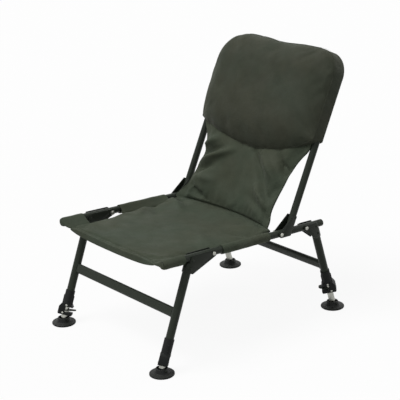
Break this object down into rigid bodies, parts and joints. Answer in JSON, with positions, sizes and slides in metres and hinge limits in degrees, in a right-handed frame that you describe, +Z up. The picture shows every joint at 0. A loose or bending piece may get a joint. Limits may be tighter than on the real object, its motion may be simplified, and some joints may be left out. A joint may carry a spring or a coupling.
{
  "type": "folding fishing chair",
  "caption": "Low reclining fishing chair: padded fabric seat slung between steel rails, waisted back with a head pillow, folding telescopic legs with locks and wide swivelling mud feet.",
  "frame": {"origin": "on the ground under the middle of the chair, midway between its front and rear ends", "axes": "+Z up, the sitter faces -Y, +X to the sitter's left; the chair stands open, on level feet"},
  "size_m": [0.569, 0.7971, 0.8259],
  "materials": {
    "frame_steel": "satin dark green-black powder coat",
    "bright_steel": "bright zinc-plated steel",
    "black_plastic": "moulded, matt",
    "seat_fabric": "woven, olive green, slight sheen",
    "pillow_fabric": "woven, dark olive green"
  },
  "bodies": {
    "seat": {"seat_rail_left": "frame_steel", "rail_cap_front_left": "black_plastic", "rail_cap_rear_left": "black_plastic", "pivot_bolt_front_left": "bright_steel", "pivot_bolt_back_left": "bright_steel", "pivot_bolt_rear_left": "bright_steel", "seat_rail_right": "frame_steel", "rail_cap_front_right": "black_plastic", "rail_cap_rear_right": "black_plastic", "pivot_bolt_front_right": "bright_steel", "pivot_bolt_back_right": "bright_steel", "pivot_bolt_rear_right": "bright_steel", "seat_pad": "seat_fabric"},
    "backrest": {"back_frame": "frame_steel", "back_bracket_left": "frame_steel", "back_bracket_right": "frame_steel", "back_panel": "seat_fabric", "pillow": "pillow_fabric"},
    "front_legs": {"front_crossbar": "frame_steel", "front_leg_left": "frame_steel", "front_leg_bracket_left": "frame_steel", "leg_lock_front_left": "black_plastic", "front_leg_right": "frame_steel", "front_leg_bracket_right": "frame_steel", "leg_lock_front_right": "black_plastic"},
    "inner_leg_front_left": {"inner_leg_front_left": "bright_steel", "leg_tip_front_left": "black_plastic"},
    "foot_front_left": {"foot_front_left": "black_plastic", "foot_pin_front_left": "frame_steel"},
    "lever_front_left": {"jam_plate_front_left": "frame_steel"},
    "inner_leg_front_right": {"inner_leg_front_right": "bright_steel", "leg_tip_front_right": "black_plastic"},
    "foot_front_right": {"foot_front_right": "black_plastic", "foot_pin_front_right": "frame_steel"},
    "lever_front_right": {"jam_plate_front_right": "frame_steel"},
    "rear_legs": {"rear_crossbar": "frame_steel", "rear_leg_left": "frame_steel", "rear_leg_bracket_left": "frame_steel", "leg_lock_rear_left": "black_plastic", "rear_leg_right": "frame_steel", "rear_leg_bracket_right": "frame_steel", "leg_lock_rear_right": "black_plastic"},
    "inner_leg_rear_left": {"inner_leg_rear_left": "bright_steel", "leg_tip_rear_left": "black_plastic"},
    "foot_rear_left": {"foot_rear_left": "black_plastic", "foot_pin_rear_left": "frame_steel"},
    "lever_rear_left": {"jam_plate_rear_left": "frame_steel"},
    "inner_leg_rear_right": {"inner_leg_rear_right": "bright_steel", "leg_tip_rear_right": "black_plastic"},
    "foot_rear_right": {"foot_rear_right": "black_plastic", "foot_pin_rear_right": "frame_steel"},
    "lever_rear_right": {"jam_plate_rear_right": "frame_steel"}
  },
  "joints": [
    {"name": "backrest_fold", "type": "hinge", "parent": "seat", "child": "backrest", "pos_m": [0, 0.10589, 0.31066], "axis": [1, 0, 0], "range_deg": [0, 105]},
    {"name": "front_leg_fold", "type": "hinge", "parent": "seat", "child": "front_legs", "pos_m": [0, -0.16571, 0.32537], "axis": [1, 0, 0], "range_deg": [0, 88]},
    {"name": "leg_slide_front_left", "type": "slide", "parent": "front_legs", "child": "inner_leg_front_left", "axis": [0, 0.3551, 0.9348], "range_m": [-0.12, 0]},
    {"name": "foot_swivel_front_left", "type": "hinge", "parent": "inner_leg_front_left", "child": "foot_front_left", "pos_m": [0.247, -0.36239, 0.016], "axis": [-1, 0, 0], "range_deg": [-3, 44]},
    {"name": "lock_lever_front_left", "type": "hinge", "parent": "front_legs", "child": "lever_front_left", "pos_m": [0.25845, -0.36405, 0.04389], "axis": [-0.7071, -0.661, 0.2511], "range_deg": [0, 8.5], "stiffness_Nm_per_rad": 0.1, "springref_deg": -11.46},
    {"name": "leg_slide_front_right", "type": "slide", "parent": "front_legs", "child": "inner_leg_front_right", "axis": [0, 0.3551, 0.9348], "range_m": [-0.12, 0]},
    {"name": "foot_swivel_front_right", "type": "hinge", "parent": "inner_leg_front_right", "child": "foot_front_right", "pos_m": [-0.247, -0.36239, 0.016], "axis": [-1, 0, 0], "range_deg": [-3, 44]},
    {"name": "lock_lever_front_right", "type": "hinge", "parent": "front_legs", "child": "lever_front_right", "pos_m": [-0.25845, -0.36405, 0.04389], "axis": [-0.7071, 0.661, -0.2511], "range_deg": [0, 8.5], "stiffness_Nm_per_rad": 0.1, "springref_deg": -11.46},
    {"name": "rear_leg_fold", "type": "hinge", "parent": "seat", "child": "rear_legs", "pos_m": [0, 0.20974, 0.30503], "axis": [-1, 0, 0], "range_deg": [0, 107]},
    {"name": "leg_slide_rear_left", "type": "slide", "parent": "rear_legs", "child": "inner_leg_rear_left", "axis": [0, -0.2907, 0.9568], "range_m": [-0.09, 0.03]},
    {"name": "foot_swivel_rear_left", "type": "hinge", "parent": "inner_leg_rear_left", "child": "foot_rear_left", "pos_m": [0.247, 0.33936, 0.016], "axis": [1, 0, 0], "range_deg": [-7, 40]},
    {"name": "lock_lever_rear_left", "type": "hinge", "parent": "rear_legs", "child": "lever_rear_left", "pos_m": [0.25845, 0.33338, 0.07509], "axis": [0.7071, -0.6766, -0.2056], "range_deg": [0, 8.5], "stiffness_Nm_per_rad": 0.1, "springref_deg": -11.46},
    {"name": "leg_slide_rear_right", "type": "slide", "parent": "rear_legs", "child": "inner_leg_rear_right", "axis": [0, -0.2907, 0.9568], "range_m": [-0.09, 0.03]},
    {"name": "foot_swivel_rear_right", "type": "hinge", "parent": "inner_leg_rear_right", "child": "foot_rear_right", "pos_m": [-0.247, 0.33936, 0.016], "axis": [1, 0, 0], "range_deg": [-7, 40]},
    {"name": "lock_lever_rear_right", "type": "hinge", "parent": "rear_legs", "child": "lever_rear_right", "pos_m": [-0.25845, 0.33338, 0.07509], "axis": [0.7071, 0.6766, 0.2056], "range_deg": [0, 8.5], "stiffness_Nm_per_rad": 0.1, "springref_deg": -11.46}
  ]
}
